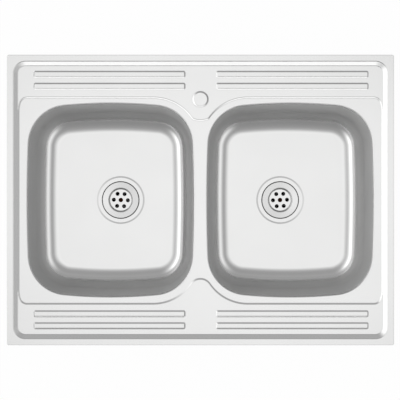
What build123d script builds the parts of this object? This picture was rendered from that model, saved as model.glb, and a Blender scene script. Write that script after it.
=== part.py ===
from build123d import *

import math
import os

# Double bowl kitchen sink in stainless steel, of the kind that lies on top of its base cabinet.
# Millimetres. The origin is in the middle of the sink, on the cabinet's top edge (the underside
# of the return flange). +X points to the user's right, +Y to the back with the tap hole, +Z up.

# ---- sheet and outer shell -----------------------------------------------------------------
SINK_WIDTH = 800.0            # left to right, over the aprons
SINK_LENGTH = 600.0           # front to back, over the aprons
APRON_HEIGHT = 30.0           # cabinet top to the top of the rim
SHEET = 0.8                   # stainless sheet thickness
PLAN_CORNER_RADIUS = 4.0      # the shell's upright corners
BEND_RADIUS = 1.4             # outside radius of the folds above and below the apron
RETURN_FLANGE = 12.0          # width of the flange that lies on the cabinet

# ---- pan pressed into the rim --------------------------------------------------------------
RIM_WIDTH = 13.0              # flat border round the pan
PAN_DEPTH = 7.5               # rim down to the draining level
SLOPE_RUN = 9.0               # plan width of the slope between the two
PAN_CORNER_RADIUS = 25.0      # at the rim
PAN_EDGE_RADIUS = 3.0         # where the rim turns into the slope
PAN_FOOT_RADIUS = 2.0         # where the slope runs out

# ---- shallow recess round the two bowls ----------------------------------------------------
RECESS_DEPTH = 2.0            # below the draining level
RECESS_BORDER = 11.7          # its floor in front of and behind the bowls
RECESS_CORNER_RADIUS = 13.0   # outer corners, at the recess floor
RECESS_SWEEP_RADIUS = 53.0    # wider arc that leads into each corner from the side
RECESS_SWEEP_ANGLE = 20.0     # degrees of that arc
RECESS_FOOT_RADIUS = 1.2      # where its edge runs out on its floor
TONGUE_RADIUS = 45.0          # edge of the tap ledge, about the tap hole
TONGUE_CORNER_RADIUS = 6.0    # where that edge turns into its flanks
ARCH_RADIUS = 25.0            # tip of the front ledge between the bowls

# ---- draining ribs -------------------------------------------------------------------------
RIB_HEIGHT = 2.0
RIB_WIDTH = 14.0              # at the foot
RIB_SLOPE_RUN = 2.4           # plan width of a rib's drafted edge
RIB_CORNER_RADIUS = 4.2
RIB_EDGE_RADIUS = 1.6
RIB_FOOT_RADIUS = 0.6
RIB_INNER_END = 31.0          # distance from the sink's middle to the near end
RIB_SIDE_GAP = 32.4           # foot of the pan's slope to the far end
RIB_ROW_GAP = 23.6            # recess floor to the middle of the nearest row
RIB_PITCH = 24.75
RIB_ROWS = 2                  # in front of the bowls, and as many behind them

# ---- bowls ---------------------------------------------------------------------------------
SIDE_LEDGE = 42.0             # apron to the mouth of a bowl, left and right
END_LEDGE = 99.7              # apron to the mouths, front and back
BOWL_GAP = 27.5               # between the two mouths
BOWL_FLOOR_DEPTH = 147.0      # rim to the bowl floor
SIDE_BULGE_RADIUS = 1914.0    # the long sides bow outwards a little
END_BULGE_RADIUS = 1018.0     # and so do the ends
BOWL_CORNER_RADIUS = 82.0
SIDE_LEAN = 8.5               # how far a side wall leans in on its way down
END_LEAN = 13.5
FLOOR_RADIUS = 46.0           # between wall and floor
LIP_RADIUS = 2.6              # between recess and wall
COLLAR_DEPTH = 6.0            # recess down to the weld between deck and bowl

# ---- tap hole ------------------------------------------------------------------------------
TAP_HOLE_DIAMETER = 35.0
TAP_HOLE_INSET = 3.4          # in front of the line of the recess's back edge
BLANK_GAP = 0.3               # sheared gap round the knock-out disc
BLANK_HEIGHT = 2.0            # the disc is pressed up this far above the ledge
BLANK_SLOPE_RUN = 2.4         # plan width of its drafted edge
BRIDGE_WIDTH = 14.0           # web that still holds the disc at its front
BRIDGE_ROOT = 1.0             # how far the web runs into the disc

# ---- waste fittings ------------------------------------------------------------------------
DRAIN_OFFSET = 12.5           # from the bowl's centre towards the sink's middle
SEAT_DIAMETER = 105.0         # drawn seat in the bowl floor, at the floor
SEAT_DEPTH = 0.6
SEAT_SLOPE_RUN = 5.0
DRAIN_HOLE_DIAMETER = 60.0
SEAL_SETBACK = 1.0            # both seals start this far outside the drain hole
SEAL_INSET = 2.0              # the upper seal ends this far inside the strainer's edge
UPPER_SEAL_THICKNESS = 1.4    # at its outer edge
LOWER_SEAL_THICKNESS = 2.0
STRAINER_SHEET = 0.8
STRAINER_DIAMETER = 81.0
STRAINER_EDGE_DROP = 1.6      # height of the rolled edge that hides the seal
STRAINER_DISH = 1.2           # fall of the ring inside that edge
CUP_MOUTH_DIAMETER = 55.0     # where the ring turns down into the cup
CUP_FOOT_DIAMETER = 47.0
CUP_DEPTH = 7.0
STRAINER_BEND_RADIUS = 1.6    # at the middle of the sheet
GRID_HOLES = 6
GRID_HOLE_DIAMETER = 7.5
GRID_CIRCLE_DIAMETER = 30.5
GRID_TURN = 2.4               # degrees, opposite ways on the two strainers
SCREW_DIAMETER = 6.0
SCREW_HEAD_DIAMETER = 9.6
SCREW_HEAD_HEIGHT = 2.4
SCREW_HEAD_ROUND = 1.0
SCREW_SLOT_WIDTH = 1.4
SCREW_SLOT_DEPTH = 1.2
SCREW_TIP = 2.0               # how far the screw passes out of the insert
SCREW_CLEARANCE = 0.2         # round the screw in the strainer
THREAD_CLEARANCE = 0.1        # between screw and insert
INSERT_DIAMETER = 11.0
INSERT_LENGTH = 14.0
HUB_WALL = 3.0
HUB_DROP = 8.0                # strainer grid down to the hub
SPOKES = 3
SPOKE_THICKNESS = 3.0
SPOKE_HEIGHT = 10.0
SPOKE_ROOT = 1.0              # how far a spoke runs into the wall and the hub
WASTE_FLANGE_DIAMETER = 78.0
WASTE_FLANGE_THICKNESS = 4.0
WASTE_CUP_BORE = 58.0
WASTE_CUP_LENGTH = 34.0
WASTE_CONE_HEIGHT = 12.0
WASTE_WALL = 3.0
OUTLET_DIAMETER = 47.8        # over the outlet's 1 1/2 inch pipe thread
OUTLET_BORE = 40.0
OUTLET_LENGTH = 24.0
OUTLET_CHAMFER = 1.0
GRIP_RIBS = 12                # upright ribs round the waste cup, to hold it by
GRIP_RIB_WIDTH = 4.0
GRIP_RIB_DEPTH = 2.0
GRIP_RIB_ROOT = 1.0           # how far a rib runs into the wall

# ---- sound pads ----------------------------------------------------------------------------
PAD_THICKNESS = 2.5
PAD_LENGTH = 190.0
PAD_CORNER_RADIUS = 8.0
PAD_GAP = 14.0                # from the drawn seat to the pad
PAD_EDGE_GAP = 6.5            # from the pad to where the floor turns up

# ---- fixing clips --------------------------------------------------------------------------
PANEL_THICKNESS = 18.0        # the cabinet's side panels, which the clips are screwed to
CLIP_SHEET = 2.0
CLIP_WIDTH = 36.0
CLIP_DROP = 44.0              # length of the leg below the cabinet's top edge
CLIP_REACH = 8.0              # how far the tab laps over the return flange
CLIP_BEND_RADIUS = 1.0        # inside
CLIP_CORNER_RADIUS = 5.0
CLIP_HOLE_DIAMETER = 4.5
CLIP_HOLE_SPACING = 16.0      # one hole above the other
CLIP_HOLE_DROP = 27.0         # cabinet top to the middle of the pair
CLIP_SPACING = 300.0          # between the two clips of a side

# ---- levels that follow --------------------------------------------------------------------
RIM_Z = APRON_HEIGHT
DECK_Z = RIM_Z - PAN_DEPTH
RECESS_Z = DECK_Z - RECESS_DEPTH
WELD_Z = RECESS_Z - COLLAR_DEPTH
FLOOR_Z = RIM_Z - BOWL_FLOOR_DEPTH
SEAT_Z = FLOOR_Z - SEAT_DEPTH
STRAINER_Z = SEAT_Z + UPPER_SEAL_THICKNESS    # underside of the strainer's outer edge
GRID_Z = STRAINER_Z + STRAINER_SHEET - STRAINER_DISH - CUP_DEPTH    # upper face of the grid
HUB_Z = GRID_Z - STRAINER_SHEET - HUB_DROP
WASTE_Z = SEAT_Z - SHEET - LOWER_SEAL_THICKNESS
CONE_Z = WASTE_Z - WASTE_CUP_LENGTH
OUTLET_Z = CONE_Z - WASTE_CONE_HEIGHT - OUTLET_LENGTH

# ---- other values that follow --------------------------------------------------------------
SIDES = {"left": -1, "right": 1}
ENDS = {"front": -1, "back": 1}
BOWL_WIDTH = (SINK_WIDTH - 2 * SIDE_LEDGE - BOWL_GAP) / 2     # inside the mouth
BOWL_LENGTH = SINK_LENGTH - 2 * END_LEDGE
BOWL_SPACING = BOWL_WIDTH + BOWL_GAP          # centre to centre
RECESS_LENGTH = BOWL_LENGTH + 2 * RECESS_BORDER
TAP_HOLE_Y = RECESS_LENGTH / 2 - TAP_HOLE_INSET
SLOPE = SLOPE_RUN / PAN_DEPTH                 # plan run of a slope for each mm of fall
RECESS_RUN = SLOPE * RECESS_DEPTH
PAN_FOOT = SINK_WIDTH / 2 - RIM_WIDTH - SLOPE_RUN
RECESS_SIDE = PAN_FOOT - RECESS_RUN
RECESS_SWEEP_X = RECESS_SIDE - RECESS_SWEEP_RADIUS
RIB_OUTER_END = PAN_FOOT - RIB_SIDE_GAP
RIB_FIRST_ROW = RECESS_LENGTH / 2 + RIB_ROW_GAP
DRAIN_X = BOWL_SPACING / 2 - DRAIN_OFFSET
CUT_MARGIN = 5.0              # how far cutting shapes run past what they cut


# ---- outlines ------------------------------------------------------------------------------
def polar(centre, radius, angle):
    """The point at an angle, in degrees, on a circle."""
    turn = math.radians(angle)
    return (centre[0] + radius * math.cos(turn), centre[1] + radius * math.sin(turn))


def bearing(centre, point):
    """The direction from a centre to a point, in degrees."""
    return math.degrees(math.atan2(point[1] - centre[1], point[0] - centre[0]))


def arc(centre, radius, start, end):
    """An arc from one angle to another."""
    middle = (start + end) / 2
    return ThreePointArc(*[polar(centre, radius, angle) for angle in (start, middle, end)])


def meeting_point(centre_a, radius_a, centre_b, radius_b, side):
    """Where two circles cross, to the left (side 1) or right (side -1) of the way from a to b."""
    dx, dy = centre_b[0] - centre_a[0], centre_b[1] - centre_a[1]
    span = math.hypot(dx, dy)
    along = (radius_a**2 - radius_b**2 + span**2) / (2 * span)
    across = side * math.sqrt(radius_a**2 - along**2)
    return (centre_a[0] + (dx * along - dy * across) / span,
            centre_a[1] + (dy * along + dx * across) / span)


def bowl_corner_centre(half_width, half_length, side_radius, end_radius, corner_radius):
    """Centre of the corner arc that touches a bowed side and a bowed end."""
    side_centre = (half_width - side_radius, 0.0)
    end_centre = (0.0, half_length - end_radius)
    return meeting_point(side_centre, side_radius - corner_radius,
                         end_centre, end_radius - corner_radius, 1)


def bowl_outline(grow, side_inset=0.0, end_inset=0.0):
    """The bowl's plan: two bowed sides, two bowed ends and four corners, all tangent."""
    half_width = BOWL_WIDTH / 2 + grow - side_inset
    half_length = BOWL_LENGTH / 2 + grow - end_inset
    side_radius = SIDE_BULGE_RADIUS + grow
    end_radius = END_BULGE_RADIUS + grow
    corner_radius = BOWL_CORNER_RADIUS + grow - (side_inset + end_inset) / 2
    x, y = bowl_corner_centre(half_width, half_length, side_radius, end_radius, corner_radius)
    side_x, end_y = half_width - side_radius, half_length - end_radius
    low, high = bearing((side_x, 0), (x, y)), bearing((0, end_y), (x, y))
    return Wire([
        arc((side_x, 0), side_radius, -low, low),
        arc((x, y), corner_radius, low, high),
        arc((0, end_y), end_radius, high, 180 - high),
        arc((-x, y), corner_radius, 180 - high, 180 - low),
        arc((-side_x, 0), side_radius, 180 - low, 180 + low),
        arc((-x, -y), corner_radius, 180 + low, 180 + high),
        arc((0, -end_y), end_radius, 180 + high, 360 - high),
        arc((x, -y), corner_radius, 360 - high, 360 - low),
    ])


def recess_outline(grow):
    """The recess round both bowls: it follows the bowls' inner corners, so the deck reaches in
    as a tongue round the tap hole behind and as an arch in front."""
    corner_x, corner_y = bowl_corner_centre(BOWL_WIDTH / 2, BOWL_LENGTH / 2, SIDE_BULGE_RADIUS,
                                            END_BULGE_RADIUS, BOWL_CORNER_RADIUS)
    centre_x = BOWL_SPACING / 2 - corner_x
    half_length = RECESS_LENGTH / 2 + grow
    side = RECESS_SIDE + grow
    flank_radius = half_length - corner_y
    corner_radius = RECESS_CORNER_RADIUS + grow
    sweep_radius = RECESS_SWEEP_RADIUS + grow
    turn_x, turn_y = polar((0, 0), RECESS_SWEEP_RADIUS - RECESS_CORNER_RADIUS, RECESS_SWEEP_ANGLE)
    outer_x, outer_y = RECESS_SWEEP_X + turn_x, RECESS_LENGTH / 2 - RECESS_CORNER_RADIUS
    sweep_y = outer_y - turn_y
    # behind: the tongue's tip about the tap hole, and the small corners at its ends
    tap = (0.0, TAP_HOLE_Y)
    tip_radius = TONGUE_RADIUS - grow
    turn_radius = TONGUE_CORNER_RADIUS - grow
    back = (centre_x, corner_y)
    turn = meeting_point(tap, tip_radius - turn_radius, back, flank_radius + turn_radius, -1)
    tip_end = bearing(tap, turn)
    # in front: the arch's tip touches both flanks from outside
    front = (centre_x, -corner_y)
    arch_radius = ARCH_RADIUS - grow
    tip_y = -corner_y - math.sqrt((flank_radius + arch_radius)**2 - centre_x**2)
    arch_end = bearing((0.0, tip_y), front)
    half = [
        arc(turn, turn_radius, tip_end, bearing(turn, back)),
        arc(back, flank_radius, bearing(back, turn), 90),
        Line((centre_x, half_length), (outer_x, half_length)),
        arc((outer_x, outer_y), corner_radius, 90, RECESS_SWEEP_ANGLE),
        arc((RECESS_SWEEP_X, sweep_y), sweep_radius, RECESS_SWEEP_ANGLE, 0),
        Line((side, sweep_y), (side, -sweep_y)),
        arc((RECESS_SWEEP_X, -sweep_y), sweep_radius, 0, -RECESS_SWEEP_ANGLE),
        arc((outer_x, -outer_y), corner_radius, -RECESS_SWEEP_ANGLE, -90),
        Line((outer_x, -half_length), (centre_x, -half_length)),
        arc(front, flank_radius, -90, bearing(front, (0.0, tip_y))),
    ]
    tips = [arc(tap, tip_radius, tip_end, -180 - tip_end),
            arc((0.0, tip_y), arch_radius, arch_end, 180 - arch_end)]
    return Wire(half + [edge.mirror(Plane.YZ) for edge in half] + tips)


# ---- solids shared by the pressings --------------------------------------------------------
def upward_face(wire):
    """A flat face whose normal points up."""
    face = Face(wire)
    return face if face.normal_at().Z > 0 else -face


def rounded_rectangle(width, length, radius):
    return RectangleRounded(width, length, radius).wire()


def slab(wire, bottom, top):
    return Pos(0, 0, bottom) * extrude(upward_face(wire), amount=top - bottom)


def spun(points):
    """A solid turned about the upright axis from points given as (radius, height)."""
    return revolve(Plane.XZ * make_face(Polyline(*points, close=True)), Axis.Z)


def pocket(wire, top, depth, run):
    """The space of a pocket whose sides slope in by a plan width on the way to its floor."""
    taper = math.degrees(math.atan2(run, depth))
    return Pos(0, 0, top) * extrude(upward_face(wire), amount=-depth, taper=taper)


def fold_shift(inset, run, depth):
    """How far a slope's foot moves sideways on the hidden face, to keep the sheet's thickness."""
    return inset * math.tan(math.atan2(depth, run) / 2)


def edges_at(shape, height):
    """The edges that lie flat at a height."""
    boxes = [(edge, edge.bounding_box()) for edge in shape.edges()]
    return [edge for edge, box in boxes
            if abs(box.min.Z - height) < 0.001 and abs(box.max.Z - height) < 0.001]


def faces_at(shape, height):
    """The flat faces that look up from a height."""
    return [face for face in shape.faces().filter_by(GeomType.PLANE)
            if abs(face.center().Z - height) < 0.001 and face.normal_at().Z > 0.999]


def openings_in(faces):
    """The edges of the faces' inner outlines."""
    return [edge for face in faces for wire in face.inner_wires() for edge in wire.edges()]


def outlines_of(faces):
    """The edges of the faces' outer outlines."""
    return [edge for face in faces for edge in face.outer_wire().edges()]


def bowl_space(grow):
    """The room inside a bowl, grown outwards, from above the recess down to its round floor."""
    def ring(height):
        share = (RECESS_Z - height) / (RECESS_Z - FLOOR_Z)
        return Pos(0, 0, height) * bowl_outline(grow, SIDE_LEAN * share, END_LEAN * share)

    bottom = FLOOR_Z - grow
    space = Solid.make_loft([ring(RECESS_Z + CUT_MARGIN), ring(bottom)], True)
    return fillet(edges_at(space, bottom), FLOOR_RADIUS + grow)


def at_bowl(side):
    return Pos(side * BOWL_SPACING / 2, 0, 0)


def at_drain(side, height=0.0):
    return Pos(side * DRAIN_X, 0, height)


def rib_places():
    """The middle of every draining rib."""
    middle_x = (RIB_INNER_END + RIB_OUTER_END) / 2
    rows = [RIB_FIRST_ROW + row * RIB_PITCH for row in range(RIB_ROWS)]
    return [(side * middle_x, end * y) for side in SIDES.values() for end in ENDS.values()
            for y in rows]


def make_rib(inset):
    """A draining rib with drafted edges, standing on the plane z = 0."""
    shift = fold_shift(inset, RIB_SLOPE_RUN, RIB_HEIGHT)
    foot = rounded_rectangle(RIB_OUTER_END - RIB_INNER_END - 2 * shift, RIB_WIDTH - 2 * shift,
                             RIB_CORNER_RADIUS - shift)
    draft = math.degrees(math.atan2(RIB_SLOPE_RUN, RIB_HEIGHT))
    rib = extrude(upward_face(foot), amount=RIB_HEIGHT, taper=draft)
    return fillet(edges_at(rib, RIB_HEIGHT), RIB_EDGE_RADIUS - inset)


def pressed_block(inset):
    """Everything under the deck's upper face. Taken a sheet's thickness in from the outer shell,
    the same block is the room under the deck. Folds that bend down grow tighter on that hidden
    side, and folds that bend up grow wider."""
    rim, level, floor = RIM_Z - inset, DECK_Z - inset, RECESS_Z - inset
    shell = rounded_rectangle(SINK_WIDTH - 2 * inset, SINK_LENGTH - 2 * inset,
                              PLAN_CORNER_RADIUS - inset)
    block = slab(shell, inset, rim)
    block = fillet(edges_at(block, inset) + edges_at(block, rim), BEND_RADIUS - inset)
    shift = fold_shift(inset, SLOPE_RUN, PAN_DEPTH)
    pan = rounded_rectangle(SINK_WIDTH - 2 * RIM_WIDTH + 2 * shift,
                            SINK_LENGTH - 2 * RIM_WIDTH + 2 * shift, PAN_CORNER_RADIUS + shift)
    block -= pocket(pan, rim, PAN_DEPTH, SLOPE_RUN)
    block = fillet(openings_in(faces_at(block, rim)), PAN_EDGE_RADIUS - inset)
    block = fillet(outlines_of(faces_at(block, level)), PAN_FOOT_RADIUS + inset)
    block -= pocket(recess_outline(RECESS_RUN + shift), level, RECESS_DEPTH, RECESS_RUN)
    block = fillet(outlines_of(faces_at(block, floor)), RECESS_FOOT_RADIUS + inset)
    rib = make_rib(inset)
    block += [Pos(x, y, level) * rib for x, y in rib_places()]
    block = fillet(openings_in(faces_at(block, level)), RIB_FOOT_RADIUS + inset)
    for side in SIDES.values():
        block -= at_bowl(side) * bowl_space(inset)
    return fillet(openings_in(faces_at(block, floor)), LIP_RADIUS - inset)


# ---- pressings -----------------------------------------------------------------------------
def make_deck():
    """The deck, one pressed sheet from the collars of the bowls to the return flange."""
    deck = pressed_block(0.0) - pressed_block(SHEET)
    deck -= slab(rounded_rectangle(SINK_WIDTH - 2 * RETURN_FLANGE, SINK_LENGTH - 2 * RETURN_FLANGE,
                                   PLAN_CORNER_RADIUS), -CUT_MARGIN, SHEET + BEND_RADIUS)
    for side in SIDES.values():
        deck -= at_bowl(side) * slab(bowl_outline(SHEET + CUT_MARGIN), -CUT_MARGIN, WELD_Z)
    return deck - Pos(0, TAP_HOLE_Y, DECK_Z) * Cylinder(TAP_HOLE_DIAMETER / 2, 2 * CUT_MARGIN)


def drain_seat(grow):
    """The round seat drawn down in a bowl's floor; grown, it is the seat's hidden side."""
    shift = fold_shift(grow, SEAT_SLOPE_RUN, SEAT_DEPTH)
    top, foot = SEAT_DIAMETER / 2 + shift, SEAT_DIAMETER / 2 + shift - SEAT_SLOPE_RUN
    inside = FLOOR_Z + SHEET
    return spun([(0, SEAT_Z - grow), (foot, SEAT_Z - grow), (top, FLOOR_Z - grow),
                 (top, inside), (0, inside)])


def make_bowl(side):
    """A deep-drawn bowl, open at the weld under the deck's collar."""
    drain = Pos(-side * DRAIN_OFFSET, 0, 0)
    outer = bowl_space(SHEET) + drain * drain_seat(SHEET)
    inner = bowl_space(0.0) + drain * drain_seat(0.0)
    bowl = outer - inner
    bowl -= slab(bowl_outline(SHEET + CUT_MARGIN), WELD_Z, RECESS_Z + 2 * CUT_MARGIN)
    bowl -= drain * Pos(0, 0, SEAT_Z) * Cylinder(DRAIN_HOLE_DIAMETER / 2, 2 * CUT_MARGIN)
    return at_bowl(side) * bowl


def make_tap_hole_blank():
    """The knock-out disc: sheared round, pressed up like a rib, and held by a web in front."""
    hole = TAP_HOLE_DIAMETER / 2
    foot = hole - BLANK_GAP
    top = foot - BLANK_SLOPE_RUN
    shift = fold_shift(SHEET, BLANK_SLOPE_RUN, BLANK_HEIGHT)
    disc = spun([(0, BLANK_HEIGHT), (top, BLANK_HEIGHT), (foot, 0), (foot, -SHEET),
                 (foot - shift, -SHEET), (top - shift, BLANK_HEIGHT - SHEET),
                 (0, BLANK_HEIGHT - SHEET)])
    level = Pos(0, 0, -SHEET / 2)
    web = Pos(0, -hole / 2, -SHEET / 2) * Box(BRIDGE_WIDTH, hole, SHEET)
    web = (web & level * Cylinder(hole, SHEET)) - level * Cylinder(foot - BRIDGE_ROOT, SHEET)
    return Pos(0, TAP_HOLE_Y, DECK_Z) * (disc + web)


# ---- waste fittings ------------------------------------------------------------------------
def strainer_underside(radius):
    """Height of the strainer's dished ring, on its hidden side."""
    edge, mouth = STRAINER_DIAMETER / 2, CUP_MOUTH_DIAMETER / 2
    return STRAINER_Z - STRAINER_DISH * (edge - radius) / (edge - mouth)


def make_strainer(side):
    """The pressed strainer: rolled edge, dished ring, cup and perforated grid."""
    half = STRAINER_SHEET / 2
    edge = STRAINER_DIAMETER / 2 - half
    ring_z, grid_z = STRAINER_Z + half, GRID_Z - half
    mouth_z = ring_z - STRAINER_DISH
    section = FilletPolyline((edge, ring_z - STRAINER_EDGE_DROP), (edge, ring_z),
                             (CUP_MOUTH_DIAMETER / 2, mouth_z), (CUP_FOOT_DIAMETER / 2, grid_z),
                             (0, grid_z), radius=[2 * half, STRAINER_BEND_RADIUS,
                                                  STRAINER_BEND_RADIUS])
    sheet = trace(section, STRAINER_SHEET)
    strainer = revolve(Plane.XZ * sheet, Axis.Z)
    hole = Cylinder(GRID_HOLE_DIAMETER / 2, 2 * CUT_MARGIN)
    for step in range(GRID_HOLES):
        x, y = polar((0, 0), GRID_CIRCLE_DIAMETER / 2, side * GRID_TURN + 360 * step / GRID_HOLES)
        strainer -= Pos(x, y, GRID_Z) * hole
    strainer -= Pos(0, 0, GRID_Z) * Cylinder(SCREW_DIAMETER / 2 + SCREW_CLEARANCE, 2 * CUT_MARGIN)
    return at_drain(side) * strainer


def make_upper_seal(side):
    """The seal under the strainer, as thick as the room that the dished ring leaves."""
    inner = DRAIN_HOLE_DIAMETER / 2 + SEAL_SETBACK
    outer = STRAINER_DIAMETER / 2 - SEAL_INSET
    return at_drain(side) * spun([(inner, SEAT_Z), (outer, SEAT_Z),
                                  (outer, strainer_underside(outer)),
                                  (inner, strainer_underside(inner))])


def make_lower_seal(side):
    inner = DRAIN_HOLE_DIAMETER / 2 + SEAL_SETBACK
    outer = WASTE_FLANGE_DIAMETER / 2
    return at_drain(side) * spun([(inner, WASTE_Z), (outer, WASTE_Z),
                                  (outer, SEAT_Z - SHEET), (inner, SEAT_Z - SHEET)])


def make_waste_body(side):
    """The moulded body under the bowl: flange, cup with a hub on spokes, cone and outlet."""
    flange_r, bore_r = WASTE_FLANGE_DIAMETER / 2, WASTE_CUP_BORE / 2
    cup_r, outlet_r = bore_r + WASTE_WALL, OUTLET_DIAMETER / 2
    neck_z = CONE_Z - WASTE_CONE_HEIGHT
    body = spun([(bore_r, WASTE_Z), (flange_r, WASTE_Z),
                 (flange_r, WASTE_Z - WASTE_FLANGE_THICKNESS),
                 (cup_r, WASTE_Z - WASTE_FLANGE_THICKNESS), (cup_r, CONE_Z),
                 (outlet_r, neck_z), (outlet_r, OUTLET_Z + OUTLET_CHAMFER),
                 (outlet_r - OUTLET_CHAMFER, OUTLET_Z), (OUTLET_BORE / 2, OUTLET_Z),
                 (OUTLET_BORE / 2, neck_z), (bore_r, CONE_Z)])
    hub_r = INSERT_DIAMETER / 2 + HUB_WALL
    spoke_z = HUB_Z - INSERT_LENGTH / 2
    spoke_length = bore_r - hub_r + 2 * SPOKE_ROOT
    spoke = Pos((hub_r + bore_r) / 2, 0, spoke_z) * Box(spoke_length, SPOKE_THICKNESS,
                                                        SPOKE_HEIGHT)
    body += [Rot(0, 0, 90 + 360 * step / SPOKES) * spoke for step in range(SPOKES)]
    body += Pos(0, 0, spoke_z) * Cylinder(hub_r, INSERT_LENGTH)
    body -= Pos(0, 0, spoke_z) * Cylinder(INSERT_DIAMETER / 2, INSERT_LENGTH)
    rib_top = WASTE_Z - WASTE_FLANGE_THICKNESS
    rib_length = rib_top - CONE_Z
    rib = Pos(cup_r + (GRIP_RIB_DEPTH - GRIP_RIB_ROOT) / 2, 0, CONE_Z + rib_length / 2) * Box(
        GRIP_RIB_DEPTH + GRIP_RIB_ROOT, GRIP_RIB_WIDTH, rib_length)
    body += [Rot(0, 0, 360 * (step + 0.5) / GRIP_RIBS) * rib for step in range(GRIP_RIBS)]
    return at_drain(side) * body


def make_insert(side):
    """The brass insert that takes the strainer's screw."""
    bore = SCREW_DIAMETER / 2 + THREAD_CLEARANCE
    insert = Cylinder(INSERT_DIAMETER / 2, INSERT_LENGTH) - Cylinder(bore, INSERT_LENGTH)
    return at_drain(side, HUB_Z - INSERT_LENGTH / 2) * insert


def make_screw(side):
    """The screw that pulls strainer and waste body together on the bowl's floor."""
    shank = STRAINER_SHEET + HUB_DROP + INSERT_LENGTH + SCREW_TIP
    screw = Pos(0, 0, SCREW_HEAD_HEIGHT / 2) * Cylinder(SCREW_HEAD_DIAMETER / 2,
                                                        SCREW_HEAD_HEIGHT)
    screw = fillet(edges_at(screw, SCREW_HEAD_HEIGHT), SCREW_HEAD_ROUND)
    screw += Pos(0, 0, -shank / 2) * Cylinder(SCREW_DIAMETER / 2, shank)
    screw -= Pos(0, 0, SCREW_HEAD_HEIGHT) * Box(2 * SCREW_HEAD_DIAMETER, SCREW_SLOT_WIDTH,
                                                2 * SCREW_SLOT_DEPTH)
    return at_drain(side, GRID_Z) * Rot(0, 0, side * GRID_TURN) * screw


# ---- sound pads and clips ------------------------------------------------------------------
def make_sound_pad(side):
    """A damping pad stuck under the bowl floor, outside the drawn seat."""
    near = DRAIN_X + SEAT_DIAMETER / 2 + PAD_GAP
    far = (BOWL_SPACING + BOWL_WIDTH) / 2 - SIDE_LEAN - FLOOR_RADIUS - PAD_EDGE_GAP
    top = FLOOR_Z - SHEET
    pad = slab(rounded_rectangle(far - near, PAD_LENGTH, PAD_CORNER_RADIUS),
               top - PAD_THICKNESS, top)
    return Pos(side * (near + far) / 2, 0, 0) * pad


def make_clip(side, end):
    """A fixing clip: its tab lies on the return flange, its leg on the cabinet's panel."""
    panel = SINK_WIDTH / 2 - PANEL_THICKNESS
    tab_end = SINK_WIDTH / 2 - RETURN_FLANGE + CLIP_REACH
    under, over = SHEET, SHEET + CLIP_SHEET
    middle = CLIP_SHEET / 2
    section = FilletPolyline((panel - middle, -CLIP_DROP), (panel - middle, under + middle),
                             (tab_end, under + middle), radius=CLIP_BEND_RADIUS + middle)
    clip = Pos(0, CLIP_WIDTH / 2, 0) * extrude(Plane.XZ * trace(section, CLIP_SHEET),
                                               amount=CLIP_WIDTH)
    feet = [edge for edge in clip.edges().filter_by(Axis.X)
            if edge.center().Z < -CLIP_DROP + 0.001]
    clip = fillet(feet, CLIP_CORNER_RADIUS)
    drill = Rot(0, 90, 0) * Cylinder(CLIP_HOLE_DIAMETER / 2, 2 * CUT_MARGIN)
    for step in (-0.5, 0.5):
        clip -= Pos(panel - middle, 0, -CLIP_HOLE_DROP + step * CLIP_HOLE_SPACING) * drill
    if side < 0:
        clip = mirror(clip, Plane.YZ)
    return Pos(0, end * CLIP_SPACING / 2, 0) * clip


# ---- nodes ---------------------------------------------------------------------------------
def make_nodes():
    nodes = {"sink_deck": make_deck(), "tap_hole_blank": make_tap_hole_blank()}
    for name, side in SIDES.items():
        nodes[name + "_bowl"] = make_bowl(side)
        nodes[name + "_strainer"] = make_strainer(side)
        nodes[name + "_strainer_seal"] = make_upper_seal(side)
        nodes[name + "_waste_seal"] = make_lower_seal(side)
        nodes[name + "_waste_body"] = make_waste_body(side)
        nodes[name + "_screw_insert"] = make_insert(side)
        nodes[name + "_strainer_screw"] = make_screw(side)
        nodes[name + "_sound_pad"] = make_sound_pad(side)
        for end_name, end in ENDS.items():
            nodes[end_name + "_" + name + "_clip"] = make_clip(side, end)
    return nodes


os.makedirs("parts", exist_ok=True)
for node, shape in make_nodes().items():
    export_step(shape, "parts/" + node + ".step")
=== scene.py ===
import math

import bpy
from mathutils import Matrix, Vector
from mathutils.geometry import delaunay_2d_cdt


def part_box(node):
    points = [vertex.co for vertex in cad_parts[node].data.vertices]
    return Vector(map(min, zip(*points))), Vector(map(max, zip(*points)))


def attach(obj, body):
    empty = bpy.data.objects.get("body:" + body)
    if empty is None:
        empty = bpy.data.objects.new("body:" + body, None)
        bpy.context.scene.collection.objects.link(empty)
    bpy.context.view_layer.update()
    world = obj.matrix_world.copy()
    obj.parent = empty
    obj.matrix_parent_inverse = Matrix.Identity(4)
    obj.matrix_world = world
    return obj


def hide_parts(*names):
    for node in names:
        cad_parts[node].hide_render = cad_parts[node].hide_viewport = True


# A double bowl kitchen sink in satin stainless steel, seen from straight above. The CAD model
# gives the frame; the pressed deck and the drawn bowls are made again here with rounded folds
# and exact normals. Sizes are in millimetres until a mesh is made.

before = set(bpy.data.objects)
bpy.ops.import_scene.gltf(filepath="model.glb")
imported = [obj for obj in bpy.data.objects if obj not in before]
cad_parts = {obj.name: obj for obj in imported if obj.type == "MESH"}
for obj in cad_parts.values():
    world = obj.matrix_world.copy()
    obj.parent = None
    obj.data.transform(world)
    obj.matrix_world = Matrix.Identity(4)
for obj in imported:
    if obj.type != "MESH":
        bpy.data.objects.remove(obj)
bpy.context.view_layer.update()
MM = 0.001

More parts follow.
